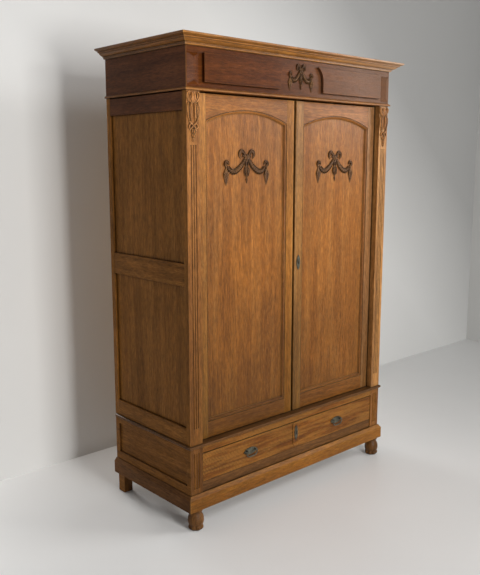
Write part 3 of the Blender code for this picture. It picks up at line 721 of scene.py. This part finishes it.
def outlinePlate(bm, points, near, far, rim):
    # A flat plate from an (x, z) outline, with its front edge bevelled.
    verts = [bm.verts.new((x, far, z)) for x, z in points]
    face = bm.faces.new(verts)
    made = bmesh.ops.extrude_face_region(bm, geom=[face])["geom"]
    fresh = [item for item in made if isinstance(item, bmesh.types.BMVert)]
    bmesh.ops.translate(bm, verts=fresh, vec=(0, near - far, 0))
    edges = [item for item in made if isinstance(item, bmesh.types.BMEdge)]
    bmesh.ops.bevel(
        bm, geom=edges, offset=rim, offset_type="OFFSET", segments=2, profile=0.5,
        affect="EDGES", material=-1, clamp_overlap=True,
    )


def pullAxis(side):
    # The middle of the line that the bail turns on.
    look = pullLook
    return Vector((side * look["apart"], look["surface"] - look["thick"] - look["standOff"], look["axis"]))


def pullPlate(word, side):
    look = pullLook
    axis = pullAxis(side)
    middle = axis.x
    face = look["surface"] - look["thick"]
    steps = 28
    upper = []
    for i in range(steps + 1):
        turn = math.pi * i / steps
        rise = math.sin(turn) ** 1.6 * look["halfHeight"]
        upper.append((middle + look["ear"] * math.cos(turn), look["height"] + rise))
    lower = [(2 * middle - x, 2 * look["height"] - z) for x, z in upper[1:-1]]
    bm = bmesh.new()
    outlinePlate(bm, upper + lower, face, look["surface"], look["rim"])
    for way in (-1, 1):
        # Each eye is a short stalk with a ball at its end, drilled by the bail.
        eye = middle + way * look["knuckle"]
        stalk = Matrix.Translation((eye, axis.y + 0.0058, axis.z))
        stalk = stalk @ Matrix.Rotation(math.radians(90), 4, "X")
        bmesh.ops.create_cone(
            bm, cap_ends=True, segments=20, radius1=0.0034, radius2=0.0030, depth=0.0090, matrix=stalk
        )
        ball = Matrix.Translation((eye, axis.y, axis.z))
        bmesh.ops.create_uvsphere(bm, u_segments=20, v_segments=12, radius=0.0048, matrix=ball)
        rivet = Matrix.Translation((middle + way * (look["ear"] - 0.008), face, look["height"]))
        rivet = rivet @ Matrix.Diagonal((1, 0.5, 1, 1))
        bmesh.ops.create_uvsphere(bm, u_segments=14, v_segments=8, radius=0.0021, matrix=rivet)
    name = f"pullPlate{word.capitalize()}"
    keepPiece(bm, name, "oldBrass", None, (f"drawer_pull_plate_{word}",), smooth=35)


def pullBail(word, side):
    look = pullLook
    axis = pullAxis(side)
    reach = look["reach"]
    drop = look["drop"]
    half = [
        (look["knuckle"] - 0.0035, 0.0), (reach - 0.003, 0.0), (reach, -0.003),
        (reach - 0.0006, -drop + 0.014), (reach - 0.008, -drop + 0.003), (reach - 0.018, -drop),
    ]
    path = smoothPath(half + [(-x, z) for x, z in reversed(half)], 5)
    bm = bmesh.new()
    stations = []
    for i, centre in enumerate(path):
        way = path[min(i + 1, len(path) - 1)] - path[max(i - 1, 0)]
        way.normalize()
        across = Vector((-way.y, way.x))
        t = abs(2 * i / (len(path) - 1) - 1)
        radius = look["radius"] * (1.12 - 0.18 * t)
        ring = []
        for k in range(look["sides"]):
            turn = 2 * math.pi * k / look["sides"]
            spot = centre + across * radius * math.cos(turn)
            ring.append((axis.x + spot.x, axis.y + radius * math.sin(turn), axis.z + spot.y))
        stations.append(ring)
    sweep(bm, stations)
    name = f"bail{word.capitalize()}"
    keepPiece(bm, name, "oldBrass", None, (f"drawer_bail_{word}",), smooth=50, crisp=False)


for word, side in sides.items():
    pullPlate(word, side)
    pullBail(word, side)

for node in ("drawer_escutcheon", "door_escutcheon"):
    bm = copyOf(node)
    ease(bm, 0.0005, shortest=0.0004, least=50)
    keepPiece(bm, node.split("_")[0] + "Escutcheon", "oldBrass", None, (node,))

print("case")

postLook = {"top": 1.848, "middle": 0.033, "lift": 1.3, "left": "oakCase", "right": "oakCasePale"}


def postPiece(word, side):
    # The corner post loses its plain shield, which the carving takes the place of.
    node = f"post_front_{word}"
    bm = copyOf(node)
    parts = list(bm.verts) + list(bm.edges) + list(bm.faces)
    bmesh.ops.bisect_plane(
        bm, geom=parts, dist=0.000001, plane_co=(0, caseFront - 0.00002, 0), plane_no=(0, -1, 0),
        clear_outer=True,
    )
    rim = [edge for edge in bm.edges if edge.is_boundary]
    bmesh.ops.holes_fill(bm, edges=rim)
    ease(bm, 0.0009)
    piece = keepPiece(bm, f"postFront{word.capitalize()}", postLook[word], "z", (node,))
    outerFaces(piece, "oakSide", lambda face: face.normal.x * side > 0.9)


def postCarving(word, side):
    middle = side * (caseHalf - postLook["middle"])
    surface = caseFront
    top = postLook["top"]
    bm = bmesh.new()

    def strip(points, widths, heights, section="round", both=True):
        for way in (-1, 1) if both else (1,):
            placed = [(middle + way * x, top - down) for x, down in points]
            carve(bm, placed, widths, [h * postLook["lift"] for h in heights], surface, section)

    # A cap of three leaves that turn over at the top.
    strip([(0, 0.046), (0, 0.026), (0, 0.005)], [0.005, 0.0115, 0.0135, 0.007],
          [0.003, 0.0070, 0.0085, 0.004], "leaf", False)
    strip([(0.007, 0.048), (0.0185, 0.030), (0.0255, 0.006)], [0.003, 0.0080, 0.0078, 0.003],
          [0.003, 0.0065, 0.0075, 0.003], "leaf")
    strip([(0.022, 0.003), (0.0295, 0.010), (0.0285, 0.026), (0.0210, 0.042)],
          [0.002, 0.0034, 0.0034, 0.0018], [0.003, 0.0060, 0.006, 0.002])
    # Two long hollow leaves hang under it.
    strip([(0.0085, 0.044), (0.0112, 0.062), (0.0112, 0.088), (0.0095, 0.116)],
          [0.004, 0.0072, 0.0080, 0.0076, 0.0064, 0.0015], [0.004, 0.0068, 0.0075, 0.007, 0.006, 0.002],
          "leaf")
    strip([(0.0225, 0.044), (0.0260, 0.062), (0.0245, 0.092), (0.0185, 0.122)],
          [0.0020, 0.0056, 0.0056, 0.0040, 0.0012], [0.003, 0.0058, 0.006, 0.005, 0.002], "leaf")
    # A crossed ribbon ties them.
    for way in (-1, 1):
        placed = [(middle + way * x, top - down)
                  for x, down in ((0.0215, 0.114), (0.010, 0.126), (-0.008, 0.140), (-0.0175, 0.153))]
        carve(bm, placed, [0.002, 0.0040, 0.0038, 0.0018], [0.003, 0.0070 + way * 0.0006, 0.006, 0.002],
              surface, "ribbon")
    strip([(0.006, 0.122), (0.018, 0.129), (0.0215, 0.140), (0.013, 0.147)],
          [0.0015, 0.0032, 0.0030, 0.0012], [0.002, 0.0050, 0.005, 0.002])
    # Bell flowers get smaller towards the tip.
    for drop, size in ((0.142, 1.0), (0.162, 0.80), (0.179, 0.60)):
        strip([(0.0008, drop), (0.0058 * size, drop + 0.010 * size), (0.0086 * size, drop + 0.025 * size)],
              [0.0014, 0.0052 * size, 0.0044 * size, 0.0008], [0.002, 0.0068 * size, 0.0062 * size, 0.0015],
              "leaf")
        strip([(0, drop + 0.004), (0, drop + 0.016 * size), (0, drop + 0.029 * size)],
              [0.0015, 0.0042 * size, 0.0010], [0.003, 0.0080 * size, 0.002], "round", False)
    name = f"postCarving{word.capitalize()}"
    keepPiece(bm, name, "oakCarvedPost", "z", (f"post_front_{word}",), smooth=60, crisp=False)


for word, side in sides.items():
    postPiece(word, side)
    postCarving(word, side)

backLook = {
    "boards": 8, "low": 0.100, "high": 2.0187, "near": 0.3050, "far": 0.3135,
    "gap": 0.0012, "chamfer": 0.0026,
}


def backBoards():
    # Upright tongued boards close the back.
    look = backLook
    reach = caseHalf - 0.0303
    cuts = [0.0]
    for i in range(look["boards"]):
        cuts.append(cuts[-1] + boards.uniform(0.85, 1.15))
    cuts = [-reach + 2 * reach * cut / cuts[-1] for cut in cuts]
    for number, (left, right) in enumerate(zip(cuts, cuts[1:]), 1):
        size = (right - left - look["gap"], look["far"] - look["near"], look["high"] - look["low"])
        middle = ((left + right) / 2, (look["near"] + look["far"]) / 2, (look["high"] + look["low"]) / 2)
        place = Matrix.Translation(middle) @ Matrix.Diagonal((*size, 1))
        bm = bmesh.new()
        bmesh.ops.create_cube(bm, size=1, matrix=place)
        ease(bm, look["chamfer"])
        keepPiece(bm, f"backBoard{number}", "oakInner", "z", ("back_panel",))


backBoards()
bm = copyOf("hanging_rail")
keepPiece(bm, "hangingRail", "oakInner", "x", ("hanging_rail",), smooth=40)

print("doors")

doorLook = {
    "middle": 0.2904,
    "half": 0.2366,
    "low": 0.462,
    "spring": 1.741,
    "rise": 0.048,
    "fieldFace": doorFace + 0.012,
    "fieldBack": doorFace + 0.020,
}
# (inset from the opening, depth behind the frame's face)
mouldProfile = [
    (0.0003, 0.0125), (0.0003, 0.0052), (0.0018, 0.0050), (0.0020, 0.0016), (0.0028, 0.0006),
    (0.0044, 0.0006), (0.0052, 0.0014), (0.0056, 0.0026), (0.0078, 0.0030), (0.0098, 0.0046),
    (0.0112, 0.0072), (0.0118, 0.0096), (0.0134, 0.0100), (0.0140, 0.0108), (0.0140, 0.0125),
]


def archPoints(inset, steps=24):
    # The door opening drawn inside its edge, as (x, z) from the middle of the door.
    look = doorLook
    radius = (look["half"] ** 2 + look["rise"] ** 2) / (2 * look["rise"])
    centre = look["spring"] + look["rise"] - radius
    half = look["half"] - inset
    radius -= inset
    reach = math.asin(half / radius)
    points = [(-half, look["low"] + inset), (half, look["low"] + inset)]
    for i in range(steps + 1):
        turn = reach - 2 * reach * i / steps
        points.append((radius * math.sin(turn), centre + radius * math.cos(turn)))
    return points


def doorPanel(word, side):
    look = doorLook
    middle = side * look["middle"]
    bm = bmesh.new()
    outline = [(middle + x, z) for x, z in archPoints(-0.009)]
    outlinePlate(bm, outline, look["fieldFace"], look["fieldBack"], 0.0005)
    keepPiece(bm, f"doorPanel{word.capitalize()}", "oakDoor", "z", (f"door_{word}_panel",))

    bm = bmesh.new()
    rings = [archPoints(inset) for inset, deep in mouldProfile]
    stations = []
    for i in range(len(rings[0])):
        stations.append([
            (middle + ring[i][0], doorFace + deep, ring[i][1])
            for ring, (inset, deep) in zip(rings, mouldProfile)
        ])
    sweep(bm, stations, around=True)

    def grain(centre, normal):
        upright = abs(centre.x - middle) > look["half"] - 0.016 and centre.z < look["spring"]
        return "z" if upright and centre.z > look["low"] + 0.012 else "x"

    name = f"doorMoulding{word.capitalize()}"
    keepPiece(bm, name, "oakMoulding", grain, (f"door_{word}_panel",), smooth=30)


swagLook = {"base": 1.475, "lift": 0.0062}


def swag(bm, middle, base, wide, tall, surface, lift, bold):
    # A tied bow, two leafy garlands and three drops.
    def strip(points, widths, heights, section="round", both=True, steps=5):
        for way in (-1, 1) if both else (1,):
            placed = [(middle + way * x * wide, base + z * tall) for x, z in points]
            carve(bm, placed, [w * bold for w in widths], [h * lift for h in heights], surface,
                  section, steps)

    # Two loops of ribbon with their ends.
    strip([(0.004, 0.116), (0.014, 0.133), (0.027, 0.146), (0.039, 0.141), (0.042, 0.127), (0.035, 0.114)],
          [0.0036, 0.0058, 0.0070, 0.0068, 0.0056, 0.0024], [0.7, 1.0, 1.15, 1.0, 0.8, 0.4], "ribbon")
    strip([(0.002, 0.110), (0.013, 0.122), (0.022, 0.126), (0.026, 0.118)],
          [0.002, 0.0044, 0.0044, 0.0014], [0.5, 0.8, 0.8, 0.3])
    strip([(0, 0.132), (0, 0.116), (0, 0.100)], [0.005, 0.0092, 0.006], [0.7, 1.2, 0.8], "round", False)
    garland = [(0.005, 0.120), (0.014, 0.106), (0.027, 0.089), (0.043, 0.074), (0.062, 0.062),
               (0.082, 0.059), (0.098, 0.068), (0.110, 0.082)]
    strip(garland, [0.0044, 0.0070, 0.0086, 0.0098, 0.0106, 0.0098, 0.0072, 0.0036],
          [0.7, 0.9, 0.95, 0.95, 0.95, 0.9, 0.8, 0.5])
    # Leaves lie over the garland like scales.
    path = smoothPath([(x, z) for x, z in garland], 6)
    for i in range(3, len(path) - 4, 3):
        way = (path[i + 1] - path[i - 1]).normalized()
        across = Vector((-way.y, way.x))
        size = 0.5 + 0.8 * math.sin(math.pi * i / len(path))
        for lean in (-1, 1):
            start = path[i] + across * lean * 0.0012
            tip = start + way * 0.013 * size + across * lean * 0.0076 * size
            bend = (start + tip) / 2 + across * lean * 0.0018 * size
            strip([tuple(start), tuple(bend), tuple(tip)], [0.0010, 0.0036 * size, 0.0008],
                  [0.8, 1.25, 0.4], "leaf", steps=3)
    # The end rosettes and their drops.
    strip([(0.103, 0.088), (0.111, 0.101), (0.122, 0.098), (0.124, 0.086), (0.114, 0.080)],
          [0.0024, 0.0054, 0.0060, 0.0054, 0.0026], [0.6, 1.1, 1.2, 1.1, 0.6], "ribbon")
    strip([(0.118, 0.090), (0.1185, 0.072), (0.119, 0.052)], [0.0036, 0.0056, 0.0064], [0.7, 0.8, 0.8])
    strip([(0.119, 0.070), (0.119, 0.050), (0.1185, 0.026), (0.118, 0.000)],
          [0.0050, 0.0128, 0.0138, 0.0094, 0.0016], [0.8, 1.15, 1.15, 0.8, 0.3], "leaf")
    strip([(0.1125, 0.064), (0.1075, 0.046), (0.1115, 0.024)], [0.0012, 0.0042, 0.001], [0.7, 1.2, 0.5])
    strip([(0.1250, 0.064), (0.1300, 0.046), (0.1260, 0.024)], [0.0012, 0.0042, 0.001], [0.7, 1.2, 0.5])
    # The middle drop.
    strip([(0.0040, 0.108), (0.0058, 0.090), (0.0050, 0.072)], [0.0026, 0.0042, 0.003], [0.7, 0.9, 0.7])
    strip([(0.0020, 0.084), (0.0100, 0.064), (0.0125, 0.040)], [0.0020, 0.0076, 0.0060, 0.0010],
          [0.7, 1.15, 0.9, 0.3], "leaf")
    strip([(0, 0.084), (0, 0.056), (0, 0.030)], [0.004, 0.0086, 0.0034], [0.8, 1.3, 0.6], "leaf", False)
    strip([(0, 0.036), (0, 0.024), (0, 0.008)], [0.0026, 0.0062, 0.0014], [0.6, 1.0, 0.4], "round", False)


def doorSwag(word, side):
    look = swagLook
    bm = bmesh.new()
    swag(bm, side * doorLook["middle"], look["base"], 1, 1, doorLook["fieldFace"], look["lift"], 1.0)
    name = f"doorSwag{word.capitalize()}"
    keepPiece(bm, name, "oakCarved", "z", (f"door_{word}_swag",), smooth=60, crisp=False)


for word, side in sides.items():
    doorPanel(word, side)
    doorSwag(word, side)

for level in ("bottom", "top"):
    for word in sides:
        node = f"pivot_pin_{level}_{word}"
        name = f"pivotPin{level.capitalize()}{word.capitalize()}"
        keepPiece(copyOf(node), name, "iron", None, (node,), smooth=40)
easedPiece("door_lock_bolt", "iron", None, 0.0006)

print("frieze and cornice")

friezeLook = {
    "lip": 1.8645, "lipHighlightFinish": "oakCase",
    "swagBase": 1.884, "swagSize": (0.58, 0.76), "swagLift": 0.0066, "swagBold": 0.86,
}


def friezeBoard(node, finish, grain):
    # Painted highlight: the lower lip gets the paler case finish, standing in for light on its top edge.
    piece = easedPiece(node, finish, grain, 0.0007)
    outerFaces(piece, friezeLook["lipHighlightFinish"], lambda face: face.center.z < friezeLook["lip"])


friezeBoard("frieze_front", "oakDark", "x")
for word in sides:
    friezeBoard(f"frieze_{word}", "oakFriezeSide", "y")
look = friezeLook
bm = bmesh.new()
swag(bm, 0, look["swagBase"], *look["swagSize"], caseFront, look["swagLift"], look["swagBold"])
keepPiece(bm, "friezeSwag", "oakCarved", "x", ("frieze_swag",), smooth=60, crisp=False)


def curved(centre, radius, start, end, steps=6):
    turns = [math.radians(start + (end - start) * i / steps) for i in range(steps + 1)]
    return [(centre[0] + radius * math.cos(t), centre[1] + radius * math.sin(t)) for t in turns]


def corniceProfile():
    # From under the bed mould up to the top fillet, as (out, height).
    points = [(-0.012, 2.060), (-0.012, 2.019), (0.0040, 2.019), (0.0046, 2.0196)]
    points += curved((0.0060, 2.0222), 0.0027, 210, 350, 5)
    points += [(0.0086, 2.0248), (0.0086, 2.0262), (0.0120, 2.0266), (0.0124, 2.0272), (0.0124, 2.0290)]
    points += [(0.0118, 2.0300), (0.0150, 2.0306), (0.0190, 2.0318), (0.0232, 2.0342), (0.0270, 2.0374)]
    points += [(0.0300, 2.0402), (0.0300, 2.0420), (0.0345, 2.0424)]
    points += curved((0.0345, 2.0456), 0.0032, 275, 380, 6)
    points += [(0.0372, 2.0476), (0.0400, 2.0486), (0.0440, 2.0496), (0.0470, 2.0510), (0.0478, 2.0522)]
    points += [(0.0522, 2.0524), (0.0530, 2.0532), (0.0530, 2.0588), (0.0518, 2.0600)]
    return points


for word, side in {"front": 0, **sides}.items():
    bm = bmesh.new()
    sweep(bm, frontRun(corniceProfile(), side))
    name = f"cornice{word.capitalize()}"
    finish = "oakGoldSide" if side else "oakGold"
    keepPiece(bm, name, finish, "y" if side else "x", (f"cornice_{word}",), smooth=32)

print("room")

room = {
    "wall": 0.785,
    "rightWall": 3.35,
    "floor": (0.88, 0.88, 0.875),
    "paint": (0.76, 0.76, 0.75),
    "sidePaint": (0.60, 0.60, 0.585),
}


def makeRoomFinish(name, colour, rough, fading=False):
    material, tree, shader = newMaterial(name)
    place = addNode(tree, "TexCoord").outputs["Object"]
    cloud = noiseOn(tree, place, (0.8, 0.8, 0.8), 3.0)
    shade = spread(tree, cloud, 0.3, 0.7, (0.97, 1.02))
    if fading:
        # The far corner of the room gets less light.
        spot = addNode(tree, "SeparateXYZ", {0: place})
        aside = calc(tree, "MULTIPLY", spot.outputs[0], 0.45)
        way = calc(tree, "ADD", aside, calc(tree, "MULTIPLY", spot.outputs[2], 0.5))
        shade = calc(tree, "MULTIPLY", shade, spread(tree, way, 1.35, 2.05, (1.0, 0.60)))
    tree.links.new(mixed(tree, 1.0, colour, shade, "MULTIPLY"), shader.inputs["Base Color"])
    shader.inputs["Roughness"].default_value = rough
    return material


def oneSided(wall):
    # The back of a wall is clear, so that the wardrobe's own back and side can be looked at.
    tree = wall.active_material.node_tree
    shader = tree.nodes["Principled BSDF"]
    side = addNode(tree, "NewGeometry")
    clear = addNode(tree, "BsdfTransparent")
    faces = {0: side.outputs["Backfacing"], 1: shader.outputs[0], 2: clear.outputs[0]}
    both = addNode(tree, "MixShader", faces)
    tree.links.new(both.outputs[0], tree.nodes["Material Output"].inputs["Surface"])
    wall.visible_shadow = False


def roomPlane(name, middle, size, turn, finish):
    bm = bmesh.new()
    place = Matrix.Translation(middle) @ turn @ Matrix.Diagonal((size[0], size[1], 1, 1))
    bmesh.ops.create_grid(bm, x_segments=1, y_segments=1, size=0.5, matrix=place)
    mesh = bpy.data.meshes.new(name)
    bm.to_mesh(mesh)
    bm.free()
    mesh.materials.append(finish)
    plane = bpy.data.objects.new(name, mesh)
    scene.collection.objects.link(plane)
    return plane


floorFinish = makeRoomFinish("paleFloor", room["floor"], 0.38)
wallFinish = makeRoomFinish("paleWall", room["paint"], 0.9, True)
# Painted shade: the right wall is painted darker than the back wall.
shadedSideFinish = makeRoomFinish("shadedSideWall", room["sidePaint"], 0.9)
upright = Matrix.Rotation(math.radians(90), 4, "X")
sideways = Matrix.Rotation(math.radians(-90), 4, "Y")
roomPlane("floorPlane", (0, 0, 0), (18, 16, 1), Matrix.Identity(4), floorFinish)
backWall = roomPlane("backWall", (-1.5, room["wall"], 2.5), (9.7, 5, 1), upright, wallFinish)
rightWall = roomPlane("rightWall", (room["rightWall"], -2.2, 2.5), (5, 6, 1), sideways, shadedSideFinish)
for wall in (backWall, rightWall):
    oneSided(wall)

# (place, aim, size, power, spread, tint)
lamps = {
    "keyLamp": ((-0.6, -4.7, 1.75), (0, 0, 1.05), 1.4, 185, 180, (1.0, 0.985, 0.96)),
    "rightLamp": ((2.3, -2.6, 2.8), (0.1, -0.2, 0.9), 1.4, 5, 50, (1.0, 0.99, 0.97)),
    "hazeLamp": ((3.25, -2.1, 2.5), (0.5, -0.2, 1.9), 1.2, 7, 60, (0.97, 0.98, 1.0)),
    "behindLamp": ((0.05, 4.6, 1.5), (0, 0.3, 1.0), 1.0, 12, 50, (1.0, 0.99, 0.97)),
}
for name, (place, aim, size, power, beam, tint) in lamps.items():
    data = bpy.data.lights.new(name, "AREA")
    data.energy = power
    data.size = size
    data.spread = math.radians(beam)
    data.color = tint
    lamp = bpy.data.objects.new(name, data)
    lamp.location = place
    lamp.rotation_euler = (Vector(aim) - Vector(place)).to_track_quat("-Z", "Y").to_euler()
    scene.collection.objects.link(lamp)

sky = {"colour": (0.92, 0.95, 1.0), "strength": 0.15}
world = bpy.data.worlds.new("softRoom")
world.use_nodes = True
world.node_tree.nodes["Background"].inputs["Color"].default_value = (*sky["colour"], 1)
world.node_tree.nodes["Background"].inputs["Strength"].default_value = sky["strength"]
scene.world = world
